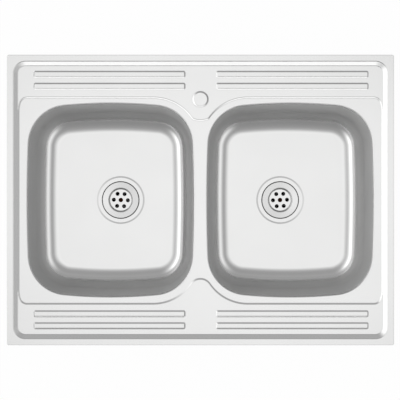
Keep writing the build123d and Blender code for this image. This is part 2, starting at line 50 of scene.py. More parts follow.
# ---- sizes ----
SHEET = 0.8
HALF_WIDTH, HALF_LENGTH, RIM_Z = (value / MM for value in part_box("sink_deck")[1])
SHELL_CORNER = 4.0            # plan radius of the shell's upright corners
SHELL_BEND = 1.0              # folds above and below the apron
RETURN_FLANGE = 12.0
RIM_WIDTH = 13.0
PAN_DEPTH = 7.5
SLOPE_RUN = 9.0
PAN_CORNER = 25.0
PAN_EDGE_RADIUS = 3.0
PAN_FOOT_RADIUS = 2.0
RECESS_DEPTH = 2.4
RECESS_CORNER = 13.0
RECESS_SWEEP = 53.0           # wider arc that leads into each corner from the side
RECESS_SWEEP_ANGLE = 20.0
RECESS_BORDERS = (10.3, 13.1)  # behind and in front of the bowls
RECESS_FOOT_RADIUS = 1.2
TONGUE_RADIUS = 45.0
TONGUE_CORNER = 6.0
ARCH_RADIUS = 25.0
FRONT_FLANK = 93.8            # arc of the recess from its front line to the arch
RIB_HEIGHT = 2.3
RIB_WIDTH = 14.4
RIB_SLOPE_RUN = 2.75
RIB_CORNER = 4.2
RIB_EDGE_RADIUS = 1.9
RIB_FOOT_RADIUS = 0.7
SMALLEST_CORNER = 0.5         # where a fold leaves no more of a rib's corner
RIB_ENDS = {-1: (31.0, 345.6), 1: (32.2, 348.2)}  # from the sink's middle, left and right of it
RIB_ROWS = (235.6, 260.35)
BOWL_SPACING = 372.7
BOWL_WIDTH = 345.2
BOWL_LENGTH = 400.6
FLOOR_Z = -117.0
SIDE_BOW = 3000.0             # the long sides and the ends bow outwards
END_BOW = 1018.0
BOWL_CORNER = 82.0
OUTER_LEAN = 8.5              # how far a wall comes in down to the floor, by side and end
INNER_LEAN = 4.8
END_LEAN = 13.5
FLOOR_RADIUS = 46.0
LIP_RADIUS = 2.6
COLLAR_DEPTH = 6.0
TAP_HOLE = (0.0, 208.6)
TAP_HOLE_RADIUS = 17.5
DRAIN_X = (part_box("right_strainer")[0].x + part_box("right_strainer")[1].x) / 2 / MM
SEAT_RADIUS = 52.0
SEAT_DEPTH = 0.6
SEAT_SLOPE_RUN = 3.6
SEAT_FOLD = 0.35              # half the plan width of each of the seat's folds
DRAIN_HOLE_RADIUS = 30.0
BLANK_RADIUS = 17.2           # the knock-out disc in the tap hole
BLANK_EDGE = 0.3              # level strip round its foot
BLANK_HEIGHT = 2.6
BLANK_RUN = 3.3
BLANK_FOLDS = (0.9, 0.6)      # radii of its upper and lower fold
WEB_TURN = 24.0               # half the angle of the web that holds it in front, in degrees
STRAINER_SHEET = 0.8
STRAINER_RADIUS = 39.5
STRAINER_DROP = 1.6           # height of its rolled edge
STRAINER_DISH = 1.2           # fall of the ring inside that edge
STRAINER_EDGE_ROUND = 1.2
CUP_MOUTH_RADIUS = 26.2
CUP_FOOT_RADIUS = 24.0
CUP_DEPTH = 7.0
CUP_ROUNDS = (1.2, 1.6)       # at the cup's mouth and at its foot
GRID_HOLES = 6
GRID_HOLE_RADIUS = 4.25
GRID_HOLE_ROUND = 0.25
GRID_CIRCLE_RADIUS = 15.25
GRID_TURN = 2.4               # degrees, opposite ways on the two strainers
SCREW_HOLE_RADIUS = 3.3
SEAL_BORE = 31.0              # the seal under the strainer
SEAL_FALL = 0.5               # fall of its top to the bore
SEAL_BEAD = (39.1, 40.9, 0.9)  # the bead squeezed out of it: its two radii and its height
SEAL_STRIP = (1.0, 0.25)      # width and thickness of the thin strip inside the bead
SEAL_ROUNDS = (0.1, 0.35, 0.1, 0.1, 0.1, 0.1, 0.1)
WASTE_FLANGE = (39.0, 4.0)    # radius and thickness
WASTE_BORE = 29.0
WASTE_WALL = 3.0
WASTE_CUP_LENGTH = 34.0
WASTE_CONE_HEIGHT = 12.0
WASTE_ROUNDS = (0.5, 1.5, 3.0, 1.2, 0.8, 0.4, 0.6, 3.0, 1.5, 0.5)
OUTLET_RADIUS = 22.6          # at the root of its thread
OUTLET_BORE = 20.0
THREAD_PITCH = 2.309          # a 1 1/2 inch pipe thread
THREAD_TURNS = 9
THREAD_RIDGE = 1.2
THREAD_START = 1.5            # above the outlet's end
HUB_RADII = (8.5, 5.5)
HUB_LENGTH = 14.0
HUB_ROUNDS = (0.8, 0.8, 0.3, 0.3)
SPOKES = 3
SPOKE = (21.5, 3.0, 10.0)     # length, thickness and height
GRIP_RIBS = 12
GRIP_RIB = (3.0, 4.0)         # depth, with its root in the wall, and width
BAR_ROOT = 1.0                # how deep a rib or spoke stands in what carries it
BAR_ROUND = 0.8               # rounding of its long edges

DECK_Z = RIM_Z - PAN_DEPTH
RECESS_Z = DECK_Z - RECESS_DEPTH
WELD_Z = RECESS_Z - COLLAR_DEPTH
SLOPE = PAN_DEPTH / SLOPE_RUN
RECESS_RUN = RECESS_DEPTH / SLOPE
RECESS_SIDE = HALF_WIDTH - RIM_WIDTH - SLOPE_RUN - RECESS_RUN
RECESS_BACK = BOWL_LENGTH / 2 + RECESS_BORDERS[0]
RECESS_FRONT = -BOWL_LENGTH / 2 - RECESS_BORDERS[1]
RIB_SLOPE = RIB_HEIGHT / RIB_SLOPE_RUN
SIDES = {"left": -1, "right": 1}

# ---- how finely the sheet is divided ----
ARC_STEP = 3.0                # degrees between points on an arc
LINE_STEP = 24.0              # millimetres between points on a line
FOLD_STEPS = (-1.0, -0.5, 0.0, 0.5, 1.0)
LIP_STEPS = 8
WALL_STEPS = 6
FLOOR_STEPS = 22
BOW_POINTS = 18               # points along a bowl's side or end
CORNER_POINTS = 30            # and round each of its corners
TURN_POINTS = 120             # points round a turned surface
ROUND_STEP = 12.0             # degrees between points on a turned profile's rounds
THREAD_POINTS = 72            # points along each turn of a thread
RIDGE_CORNERS = 4             # corners of its section
MERGE = 0.002                 # points closer than this become one


# ---- plane geometry ----
def polar(centre, radius, angle):
    """The point at an angle, in degrees, on a circle."""
    turn = math.radians(angle)
    return (centre[0] + radius * math.cos(turn), centre[1] + radius * math.sin(turn))


def bearing(centre, point):
    """The direction from a centre to a point, in degrees."""
    return math.degrees(math.atan2(point[1] - centre[1], point[0] - centre[0]))


def meeting_point(centre_a, radius_a, centre_b, radius_b, side):
    """Where two circles cross, to the left (side 1) or right (side -1) of the way from a to b."""
    dx, dy = centre_b[0] - centre_a[0], centre_b[1] - centre_a[1]
    span = math.hypot(dx, dy)
    along = (radius_a**2 - radius_b**2 + span**2) / (2 * span)
    across = side * math.sqrt(radius_a**2 - along**2)
    return (centre_a[0] + (dx * along - dy * across) / span,
            centre_a[1] + (dy * along + dx * across) / span)


def ramp(travel, half_fold):
    """Height and slope of a rise that starts at 0 and is rounded by half a fold on each side."""
    if travel <= -half_fold:
        return 0.0, 0.0
    if travel >= half_fold:
        return travel, 1.0
    return (travel + half_fold)**2 / (4 * half_fold), (travel + half_fold) / (2 * half_fold)


def step_profile(travel, run, first_fold, last_fold):
    """Height and slope, at unit slope, of a drafted step that starts at travel 0."""
    rise, going = ramp(travel, first_fold)
    back, coming = ramp(travel - run, last_fold)
    return rise - back, going - coming


def half_fold(radius, slope):
    """Plan width of half a fold of a radius, between level sheet and a slope."""
    return radius * math.tan(math.atan(slope) / 2)


def boxed_distance(x, y, half_x, half_y, corner):
    """Distance outside a rounded rectangle about the origin, and the way straight out of it."""
    over_x, over_y = abs(x) - half_x + corner, abs(y) - half_y + corner
    out_x, out_y = max(over_x, 0.0), max(over_y, 0.0)
    reach = math.hypot(out_x, out_y)
    distance = reach + min(max(over_x, over_y), 0.0) - corner
    if reach > 0:
        way = (out_x / reach, out_y / reach)
    else:
        way = (1.0, 0.0) if over_x > over_y else (0.0, 1.0)
    return distance, math.copysign(way[0], x), math.copysign(way[1], y)


def divisions(half_x, half_y):
    """Into how many parts the two sides of a rectangle are divided."""
    return max(1, round(2 * half_x / LINE_STEP)), max(1, round(2 * half_y / LINE_STEP))


def boxed_ring(half_x, half_y, corner, counts):
    """Points round a rounded rectangle, each with the way straight out, counterclockwise."""
    steps = round(90 / ARC_STEP / 2)
    ring = []
    for quarter, (sign_x, sign_y) in enumerate(((1, 1), (-1, 1), (-1, -1), (1, -1))):
        centre = (sign_x * (half_x - corner), sign_y * (half_y - corner))
        for step in range(steps + 1):
            angle = 90 * (quarter + step / steps)
            ring.append((*polar(centre, corner, angle), *polar((0, 0), 1, angle)))
        run = 2 * ((half_y if quarter % 2 else half_x) - corner)
        x, y = polar(centre, corner, 90 * (quarter + 1))
        way = polar((0, 0), 1, 90 * (quarter + 1))
        on = polar((0, 0), 1, 90 * (quarter + 2))
        for step in range(1, counts[quarter % 2]):
            along = run * step / counts[quarter % 2]
            ring.append((x + on[0] * along, y + on[1] * along, *way))
    return ring


# ---- outline of the recess ----
def corner_centre(half_width, half_length, side_radius, end_radius, corner_radius):
    """Centre of the corner arc that touches a bowed side and a bowed end."""
    return meeting_point((half_width - side_radius, 0.0), side_radius - corner_radius,
                         (0.0, half_length - end_radius), end_radius - corner_radius, 1)


def recess_features():
    """The recess's edge at its floor: arcs as (centre, radius, start, end, side), where side is
    1 if the arc bulges out of the recess and -1 if it bulges in, and lines as (from, to, out)."""
    corner_x, corner_y = corner_centre(BOWL_WIDTH / 2, BOWL_LENGTH / 2, SIDE_BOW, END_BOW,
                                       BOWL_CORNER)
    centre_x = BOWL_SPACING / 2 - corner_x
    back_flank = RECESS_BACK - corner_y
    back, front = (centre_x, corner_y), (centre_x, RECESS_FRONT + FRONT_FLANK)
    turn = meeting_point(TAP_HOLE, TONGUE_RADIUS - TONGUE_CORNER,
                         back, back_flank + TONGUE_CORNER, -1)
    tip_end = bearing(TAP_HOLE, turn)
    arch = (0.0, front[1] - math.sqrt((FRONT_FLANK + ARCH_RADIUS)**2 - centre_x**2))
    sweep_x = RECESS_SIDE - RECESS_SWEEP
    turn_x, turn_y = polar((0, 0), RECESS_SWEEP - RECESS_CORNER, RECESS_SWEEP_ANGLE)
    outer_x = sweep_x + turn_x
    back_y, front_y = RECESS_BACK - RECESS_CORNER, RECESS_FRONT + RECESS_CORNER
    arcs = [(turn, TONGUE_CORNER, tip_end, bearing(turn, back), -1),
            (back, back_flank, 90, bearing(back, turn), 1),
            ((outer_x, back_y), RECESS_CORNER, RECESS_SWEEP_ANGLE, 90, 1),
            ((sweep_x, back_y - turn_y), RECESS_SWEEP, 0, RECESS_SWEEP_ANGLE, 1),
            ((sweep_x, front_y + turn_y), RECESS_SWEEP, -RECESS_SWEEP_ANGLE, 0, 1),
            ((outer_x, front_y), RECESS_CORNER, -90, -RECESS_SWEEP_ANGLE, 1),
            (front, FRONT_FLANK, bearing(front, arch), -90, 1)]
    lines = [((centre_x, RECESS_BACK), (outer_x, RECESS_BACK), (0, 1)),
             ((RECESS_SIDE, front_y + turn_y), (RECESS_SIDE, back_y - turn_y), (1, 0)),
             ((centre_x, RECESS_FRONT), (outer_x, RECESS_FRONT), (0, -1))]
    arcs += [((-c[0], c[1]), r, 180 - end, 180 - start, side) for c, r, start, end, side in arcs]
    lines += [((-a[0], a[1]), (-b[0], b[1]), (-out[0], out[1])) for a, b, out in lines]
    arch_end = bearing(arch, front)
    arcs += [(TAP_HOLE, TONGUE_RADIUS, -180 - tip_end, tip_end, -1),
             (arch, ARCH_RADIUS, arch_end, 180 - arch_end, -1)]
    return arcs, lines


RECESS_ARCS, RECESS_LINES = recess_features()


def recess_distance(x, y):
    """Distance outside the recess's floor outline, and the way straight out of the recess."""
    best = (1e6, 0.0, 0.0)
    for centre, radius, start, end, side in RECESS_ARCS:
        if (bearing(centre, (x, y)) - start + 0.01) % 360 <= end - start + 0.02:
            reach = math.hypot(x - centre[0], y - centre[1])
            distance = side * (reach - radius)
            if reach > 0 and abs(distance) < abs(best[0]):
                best = (distance, side * (x - centre[0]) / reach, side * (y - centre[1]) / reach)
    for (ax, ay), (bx, by), (out_x, out_y) in RECESS_LINES:
        along = (x - ax) * (bx - ax) + (y - ay) * (by - ay)
        if 0 <= along <= (bx - ax)**2 + (by - ay)**2:
            distance = (x - ax) * out_x + (y - ay) * out_y
            if abs(distance) < abs(best[0]):
                best = (distance, out_x, out_y)
    return best


def recess_chains(grow):
    """The recess's outline, grown, as chains of points."""
    chains = []
    for centre, radius, start, end, side in RECESS_ARCS:
        steps = max(2, math.ceil((end - start) / ARC_STEP))
        chains.append([polar(centre, radius + side * grow, start + (end - start) * step / steps)
                       for step in range(steps + 1)])
    for (ax, ay), (bx, by), (out_x, out_y) in RECESS_LINES:
        steps = max(1, math.ceil(math.hypot(bx - ax, by - ay) / LINE_STEP))
        chains.append([(ax + (bx - ax) * step / steps + out_x * grow,
                        ay + (by - ay) * step / steps + out_y * grow)
                       for step in range(steps + 1)])
    return chains


# ---- the sheet as it is built up ----
class Pressing:
    """A smooth surface, as points with normals, and faces that look out of its visible side."""

    def __init__(self):
        self.points, self.normals, self.faces = [], [], []

    def add(self, point, normal):
        self.points.append(Vector(point))
        self.normals.append(Vector(normal).normalized())
        return len(self.points) - 1

    def ring(self, ring):
        return [self.add(point, normal) for point, normal in ring]

    def bridge(self, *rings):
        """Faces between each closed ring and the next one, which has as many points."""
        for first, second in zip(rings, rings[1:]):
            for i in range(len(first)):
                j = (i + 1) % len(first)
                self.faces.append((first[i], first[j], second[j], second[i]))

    def fill(self, borders, chains, surface, keep):
        """Triangles on a height field. Borders are rings that are in the surface already, chains
        are lines of points to keep as edges, and keep says whether a triangle stays."""
        flat, edges, known = [], [], {}
        for border in borders:
            first = len(flat)
            for index, vertex in enumerate(border):
                known[len(flat)] = vertex
                flat.append(self.points[vertex].xy)
                edges.append((first + index, first + (index + 1) % len(border)))
        for chain in chains:
            first = len(flat)
            flat += [Vector(point) for point in chain]
            edges += [(first + step, first + step + 1) for step in range(len(chain) - 1)]
        made, _, faces, sources, _, _ = delaunay_2d_cdt(flat, edges, [], 0, MERGE)
        place = []
        for point, origins in zip(made, sources):
            old = [known[origin] for origin in origins if origin in known]
            if old:
                place.append(old[0])
            else:
                height, normal = surface(point.x, point.y)
                place.append(self.add((point.x, point.y, height), normal))
        for face in faces:
            middle = sum((made[corner] for corner in face), Vector((0, 0))) / len(face)
            if keep(middle.x, middle.y):
                self.faces.append(tuple(place[corner] for corner in face))

    def mesh(self):
        """The mesh of the surface alone, for one that closes on itself."""
        return smooth_mesh(self.points, self.faces,
                           [self.normals[v] for face in self.faces for v in face])

    def thick_mesh(self, thickness):
        """The mesh of the sheet: the hidden side lies a thickness behind the visible one, and
        strips close its borders."""
        count = len(self.points)
        points = self.points + [p - n * thickness for p, n in zip(self.points, self.normals)]
        faces = list(self.faces) + [tuple(v + count for v in reversed(face)) for face in self.faces]
        corners = [self.normals[v] for face in self.faces for v in face]
        corners += [-self.normals[v] for face in self.faces for v in reversed(face)]
        ways = {(face[i - 1], face[i]) for face in self.faces for i in range(len(face))}
        strips = [(b, a, a + count, b + count) for a, b in sorted(ways) if (b, a) not in ways]
        leaning = {}
        for strip in strips:
            b, a, under_a, _ = (points[v] for v in strip)
            out = (a - b).cross(under_a - a).normalized()
            for vertex in strip:
                leaning[vertex] = leaning.get(vertex, Vector()) + out
        corners += [leaning[v].normalized() for strip in strips for v in strip]
        return smooth_mesh(points, faces + strips, corners)


def plain_mesh(name, points, faces):
    """A mesh of points in metres and faces."""
    mesh = bpy.data.meshes.new(name)
    mesh.from_pydata(points, [], faces)
    mesh.update()
    return mesh


def smooth_mesh(points, faces, corner_normals):
    """A mesh of points in millimetres with the given normal at each corner of its faces."""
    mesh = plain_mesh("smooth", [point * MM for point in points], faces)
    mesh.polygons.foreach_set("use_smooth", [True] * len(mesh.polygons))
    mesh.normals_split_custom_set([tuple(normal) for normal in corner_normals])
    return mesh


def new_object(name, data):
    """A new object in the scene."""
    made = bpy.data.objects.new(name, data)
    bpy.context.scene.collection.objects.link(made)
    return made


def put(name, mesh, material, slot, *nodes):
    """Puts a mesh in the scene in place of the CAD nodes that it stands for."""
    mesh.name = name
    piece = new_object(name, mesh)
    mesh.materials.clear()
    mesh.materials.append(material)
    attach(piece, "root")
    if nodes:
        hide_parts(*nodes)


# ---- turned surfaces ----
def circle_ring(centre, radius, height, out, up):
    """A ring about an upright line. Its normals point out from the line and up by two shares."""
    ring = []
    for step in range(TURN_POINTS):
        x, y = polar(centre, radius, step * 360 / TURN_POINTS)
        way = polar((0, 0), out, step * 360 / TURN_POINTS)
        ring.append(((x, y, height), (*way, up)))
    return ring


def rounded_profile(corners, rounds, closed=False):
    """Points (radius, height, out, up) along a line through corners (radius, height), each
    rounded by its radius. The visible side is on the right of the way along the line."""
    profile = []
    corners = [Vector(corner) for corner in corners]
    last = len(corners) - 1
    for index, (corner, radius) in enumerate(zip(corners, rounds)):
        ahead = (corners[(index + 1) % len(corners)] - corner).normalized()
        behind = (corner - corners[index - 1]).normalized()
        if not closed and index in (0, last):
            way = ahead if index == 0 else behind
            profile.append((*corner, way.y, -way.x))
            continue
        bend = -behind.angle_signed(ahead)
        side = math.copysign(1.0, bend)
        start = corner - behind * radius * math.tan(abs(bend) / 2)
        out = Vector((behind.y, -behind.x))
        middle = start - out * side * radius
        steps = max(1, math.ceil(math.degrees(abs(bend)) / ROUND_STEP))
        for step in range(steps + 1):
            turn = bend * step / steps
            normal = Vector((out.x * math.cos(turn) - out.y * math.sin(turn),
                             out.x * math.sin(turn) + out.y * math.cos(turn)))
            profile.append((*(middle + normal * side * radius), *normal))
    return profile


def turned(surface, centre, profile, closed=False):
    """Adds a profile turned about an upright line to a surface, and gives its rings."""
    rings = [surface.ring(circle_ring(centre, *point)) for point in profile]
    surface.bridge(*rings, *(rings[:1] if closed else []))
    return rings


def level_at(height):
    """A level surface for Pressing.fill."""
    return lambda x, y: (height, (0, 0, 1))


# ---- bowls ----
def wall_profile(height, lean):
    """How far a bowl's wall has come in at a height, and how far its face looks up, in radians:
    a rounded lip, a leaning wall, and the round that runs out on the floor."""
    angle = math.atan2(lean, RECESS_Z - FLOOR_Z)

    def inset(level):
        return lean * (RECESS_Z - level) / (RECESS_Z - FLOOR_Z)

    lip_z, foot_z = RECESS_Z - LIP_RADIUS, FLOOR_Z + FLOOR_RADIUS
    if height > lip_z + LIP_RADIUS * math.sin(angle):
        up = math.asin(min(1.0, (height - lip_z) / LIP_RADIUS))
        return inset(lip_z) - LIP_RADIUS / math.cos(angle) + LIP_RADIUS * math.cos(up), up
    if height < foot_z - FLOOR_RADIUS * math.sin(angle):
        up = math.asin(min(1.0, (foot_z - height) / FLOOR_RADIUS))
        return inset(foot_z) + FLOOR_RADIUS / math.cos(angle) - FLOOR_RADIUS * math.cos(up), up
    return inset(height), angle


def bowl_quarter(height, lean):
    """A quarter of the bowl's plan at a height, from the middle of a side that leans by so much
    to the middle of an end: bowed side, corner, bowed end. Points are (x, y, angle, up)."""
    side_inset, side_up = wall_profile(height, lean)
    end_inset, end_up = wall_profile(height, END_LEAN)
    half_width, half_length = BOWL_WIDTH / 2 - side_inset, BOWL_LENGTH / 2 - end_inset
    corner = BOWL_CORNER - (side_inset + end_inset) / 2
    x, y = corner_centre(half_width, half_length, SIDE_BOW, END_BOW, corner)
    low = bearing((half_width - SIDE_BOW, 0), (x, y))
    high = bearing((0, half_length - END_BOW), (x, y))
    arcs = [((half_width - SIDE_BOW, 0), SIDE_BOW, 0, low, BOW_POINTS // 2, side_up, side_up),
            ((x, y), corner, low, high, CORNER_POINTS, side_up, end_up),
            ((0, half_length - END_BOW), END_BOW, high, 90, BOW_POINTS // 2, end_up, end_up)]
    quarter = []
    for centre, radius, start, end, steps, up_start, up_end in arcs:
        for step in range(steps):
            share = step / steps
            angle = start + (end - start) * share
            quarter.append((*polar(centre, radius, angle), angle,
                            up_start + (up_end - up_start) * share))
    return quarter + [(0.0, half_length, 90.0, end_up)]


def bowl_ring(side, height):
    """The plan at a height of the bowl on one side of the sink, whose inner wall is the steeper."""
    leans = (OUTER_LEAN, INNER_LEAN) if side > 0 else (INNER_LEAN, OUTER_LEAN)
    right, left = (bowl_quarter(height, lean) for lean in leans)
    back = right + [(-x, y, 180 - angle, up) for x, y, angle, up in reversed(left[:-1])]
    front = [(-x, -y, 180 + angle, up) for x, y, angle, up in left[1:]]
    front += [(x, -y, -angle, up) for x, y, angle, up in reversed(right[1:-1])]
    middle_x = side * BOWL_SPACING / 2
    return [((middle_x + x, y, height),
             (-math.cos(up) * math.cos(math.radians(angle)),
              -math.cos(up) * math.sin(math.radians(angle)), math.sin(up)))
            for x, y, angle, up in back + front]


def lip_heights():
    """Levels from the recess's floor down the lip to the weld."""
    down = [RECESS_Z - LIP_RADIUS * (1 - math.cos(math.radians(90 * step / LIP_STEPS)))
            for step in range(LIP_STEPS + 1)]
    return down + [WELD_Z]


def wall_heights():
    """Levels from the weld down to where the floor is level."""
    foot = FLOOR_Z + FLOOR_RADIUS
    wall = [WELD_Z + (foot - WELD_Z) * step / WALL_STEPS for step in range(WALL_STEPS)]
    return wall + [foot - FLOOR_RADIUS * math.sin(math.radians(90 * step / FLOOR_STEPS))
                   for step in range(FLOOR_STEPS + 1)]


def seat_point(radius):
    """The drawn seat's profile point, as in rounded_profile, at a distance from the drain."""
    steepest = SEAT_DEPTH / SEAT_SLOPE_RUN
    fall, slope = step_profile(SEAT_RADIUS - radius, SEAT_SLOPE_RUN, SEAT_FOLD, SEAT_FOLD)
    lean = math.atan(steepest * slope)
    return radius, FLOOR_Z - steepest * fall, -math.sin(lean), math.cos(lean)


def make_bowl(side):
    """A bowl from the weld under the deck's collar down to the hole for the waste fitting."""
    bowl = Pressing()
    rings = [bowl.ring(bowl_ring(side, height)) for height in wall_heights()]
    bowl.bridge(*rings)
    drain = drain_place(side)
    radii = [middle - SEAT_FOLD * step for middle in (SEAT_RADIUS, SEAT_RADIUS - SEAT_SLOPE_RUN)
             for step in FOLD_STEPS] + [DRAIN_HOLE_RADIUS]
    circles = turned(bowl, drain, [seat_point(radius) for radius in radii])
    bowl.fill([rings[-1], circles[0]], [], level_at(FLOOR_Z),
              lambda x, y: math.dist((x, y), drain) > radii[0] - MERGE)
    return bowl


# ---- deck ----
PAN_HALF = (HALF_WIDTH - RIM_WIDTH, HALF_LENGTH - RIM_WIDTH)
PAN_EDGE_FOLD = half_fold(PAN_EDGE_RADIUS, SLOPE)
PAN_FOOT_FOLD = half_fold(PAN_FOOT_RADIUS, SLOPE)
RECESS_FOOT_FOLD = half_fold(RECESS_FOOT_RADIUS, SLOPE)
RIB_EDGE_FOLD = half_fold(RIB_EDGE_RADIUS, RIB_SLOPE)
RIB_FOOT_FOLD = half_fold(RIB_FOOT_RADIUS, RIB_SLOPE)
# Each rib as (x, y, half its length).
RIB_PLACES = [(side * (near + far) / 2, end * row, (far - near) / 2)
              for side, (near, far) in RIB_ENDS.items() for end in (-1, 1) for row in RIB_ROWS]


def deck_surface(x, y):
    """Height and normal of the pressed deck inside its rim."""
    # Each step as (distance and way out, where it starts, run, first fold, last fold, slope).
    steps = [(boxed_distance(x, y, *PAN_HALF, PAN_CORNER),
              0.0, SLOPE_RUN, PAN_EDGE_FOLD, PAN_FOOT_FOLD, -SLOPE),
             (recess_distance(x, y),
              RECESS_RUN, RECESS_RUN, PAN_FOOT_FOLD, RECESS_FOOT_FOLD, -SLOPE)]
    steps += [(boxed_distance(x - rib_x, y - rib_y, rib_half, RIB_WIDTH / 2, RIB_CORNER),
               0.0, RIB_SLOPE_RUN, RIB_FOOT_FOLD, RIB_EDGE_FOLD, RIB_SLOPE)
              for rib_x, rib_y, rib_half in RIB_PLACES if abs(y - rib_y) < RIB_WIDTH]
    height, tilt_x, tilt_y = RIM_Z, 0.0, 0.0
    for (out, way_x, way_y), begin, run, first_fold, last_fold, steepest in steps:
        rise, slope = step_profile(begin - out, run, first_fold, last_fold)
        height += steepest * rise
        tilt_x += steepest * slope * way_x
        tilt_y += steepest * slope * way_y
    return height, (tilt_x, tilt_y, 1.0)


def closed_chain(half_x, half_y, corner, middle=(0.0, 0.0)):
    """A rounded rectangle as a closed chain of points."""
    ring = [(x + middle[0], y + middle[1]) for x, y, _, _ in
            boxed_ring(half_x, half_y, corner, divisions(half_x, half_y))]
    return ring + ring[:1]


def fold_lines(*folds):
    """Where the lines of some folds run, each given by its middle and half its plan width."""
    return [middle + half * step for middle, half in folds for step in FOLD_STEPS]


def deck_chains():
    """Every fold of the deck, as lines for the mesh to follow."""
    chains = [closed_chain(PAN_HALF[0] - inset, PAN_HALF[1] - inset, PAN_CORNER - inset)
              for inset in fold_lines((0.0, PAN_EDGE_FOLD), (SLOPE_RUN, PAN_FOOT_FOLD))]
    for grow in fold_lines((RECESS_RUN, PAN_FOOT_FOLD), (0.0, RECESS_FOOT_FOLD)):
        chains += recess_chains(grow)
    for rib_x, rib_y, rib_half in RIB_PLACES:
        chains += [closed_chain(rib_half - inset, RIB_WIDTH / 2 - inset,
                                max(RIB_CORNER - inset, SMALLEST_CORNER), (rib_x, rib_y))
                   for inset in fold_lines((0.0, RIB_FOOT_FOLD), (RIB_SLOPE_RUN, RIB_EDGE_FOLD))]
    return chains


def shell_rings():
    """The shell's rings from the rim over the apron to the edge of the return flange."""
    levels = []
    for start, middle in ((90, RIM_Z - SHELL_BEND), (0, SHELL_BEND)):
        for step in range(LIP_STEPS + 1):
            up = math.radians(start - 90 * step / LIP_STEPS)
            levels.append((SHELL_BEND * (1 - math.cos(up)), middle + SHELL_BEND * math.sin(up), up))
    levels.append((RETURN_FLANGE, 0.0, -math.pi / 2))
    counts = divisions(HALF_WIDTH, HALF_LENGTH)
    rings = []
    for inset, height, up in levels:
        corner = SHELL_CORNER - inset if inset <= SHELL_BEND else SHELL_CORNER
        outline = boxed_ring(HALF_WIDTH - inset, HALF_LENGTH - inset, corner, counts)
        rings.append([((x, y, height), (way_x * math.cos(up), way_y * math.cos(up), math.sin(up)))
                      for x, y, way_x, way_y in outline])
    return rings


def make_deck():
    """The whole deck: shell, rim, draining pan with ribs, recess, lips and collars."""
    deck = Pressing()
    shell = [deck.ring(ring) for ring in shell_rings()]
    deck.bridge(*reversed(shell))
    borders = [shell[0]]
    for side in SIDES.values():
        rings = [deck.ring(bowl_ring(side, height)) for height in lip_heights()]
        deck.bridge(*rings)
        borders.append(rings[0])
    borders.append(deck.ring(circle_ring(TAP_HOLE, TAP_HOLE_RADIUS, DECK_Z, 0.0, 1.0)))
    mouths = [[deck.points[v].xy for v in border] for border in borders[1:3]]

    def on_deck(x, y):
        in_hole = math.dist((x, y), TAP_HOLE) < TAP_HOLE_RADIUS
        return not in_hole and not any(within(mouth, x, y) for mouth in mouths)

    deck.fill(borders, deck_chains(), deck_surface, on_deck)
    return deck


def within(ring, x, y):
    """Whether a point is inside a ring."""
    inside = False
    for a, b in zip(ring, ring[1:] + ring[:1]):
        if (a.y > y) != (b.y > y) and x < a.x + (b.x - a.x) * (y - a.y) / (b.y - a.y):
            inside = not inside
    return inside


def make_blank():
    """The knock-out disc in the tap hole, pressed up like the ribs, with its web in front."""
    blank = Pressing()
    top, foot = DECK_Z + BLANK_HEIGHT, BLANK_RADIUS - BLANK_EDGE
    profile = rounded_profile([(BLANK_RADIUS, DECK_Z), (foot, DECK_Z), (foot - BLANK_RUN, top),
                               (0.0, top)], [0.0, BLANK_FOLDS[1], BLANK_FOLDS[0], 0.0])
    rings = turned(blank, TAP_HOLE, profile[:-1])
    blank.fill([rings[-1]], [], level_at(top), lambda x, y: True)
    steps = round(WEB_TURN * TURN_POINTS / 360)
    first = TURN_POINTS * 3 // 4 - steps
    outer = [blank.add((*polar(TAP_HOLE, TAP_HOLE_RADIUS, turn * 360 / TURN_POINTS), DECK_Z),
                       (0, 0, 1)) for turn in range(first, first + 2 * steps + 1)]
    inner = rings[0][first:]
    for i in range(2 * steps):
        blank.faces.append((inner[i], outer[i], outer[i + 1], inner[i + 1]))
    return blank


# ---- waste fittings ----
def drain_place(side):
    """The middle of the drain on one side of the sink."""
    return (side * DRAIN_X, 0.0)


def make_strainer(name, side):
    """The pressed strainer: rolled edge, dished ring, cup and perforated grid."""
    strainer = Pressing()
    drain = drain_place(side)
    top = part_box(name + "_strainer")[1].z / MM
    mouth_z, grid_z = top - STRAINER_DISH, top - STRAINER_DISH - CUP_DEPTH
    profile = rounded_profile(
        [(STRAINER_RADIUS, top - STRAINER_DROP - STRAINER_SHEET / 2), (STRAINER_RADIUS, top),
         (CUP_MOUTH_RADIUS, mouth_z), (CUP_FOOT_RADIUS, grid_z), (0.0, grid_z)],
        [0.0, STRAINER_EDGE_ROUND, *CUP_ROUNDS, 0.0])
    borders = [turned(strainer, drain, profile[:-1])[-1]]
    openings = [(polar(drain, GRID_CIRCLE_RADIUS, side * GRID_TURN + 360 * step / GRID_HOLES),
                 GRID_HOLE_RADIUS) for step in range(GRID_HOLES)]
    openings.append((drain, SCREW_HOLE_RADIUS))
    for centre, radius in openings:
        rim = rounded_profile([(radius + 2 * GRID_HOLE_ROUND, grid_z), (radius, grid_z),
                               (radius, grid_z - GRID_HOLE_ROUND - MERGE)],
                              [0.0, GRID_HOLE_ROUND, 0.0])
        borders.append(turned(strainer, centre, rim)[0])

    def on_grid(x, y):
        return all(math.dist((x, y), centre) > radius + 2 * GRID_HOLE_ROUND - MERGE
                   for centre, radius in openings)

    strainer.fill(borders, [], level_at(grid_z), on_grid)
    return strainer


def make_seal(name, side):
    """The seal under the strainer. It is squeezed out to a bead round the strainer's edge."""
    seal = Pressing()
    low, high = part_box(name + "_strainer_seal")
    bottom, top = low.z / MM, high.z / MM
    start, end, bead = SEAL_BEAD
    strip, thin = SEAL_STRIP
    turned(seal, drain_place(side), rounded_profile(
        [(end, bottom), (end, bottom + bead), (start, bottom + thin),
         (start - strip, bottom + thin), (start - 2 * strip, top), (SEAL_BORE, top - SEAL_FALL),
         (SEAL_BORE, bottom)],
        SEAL_ROUNDS, True), True)
    return seal


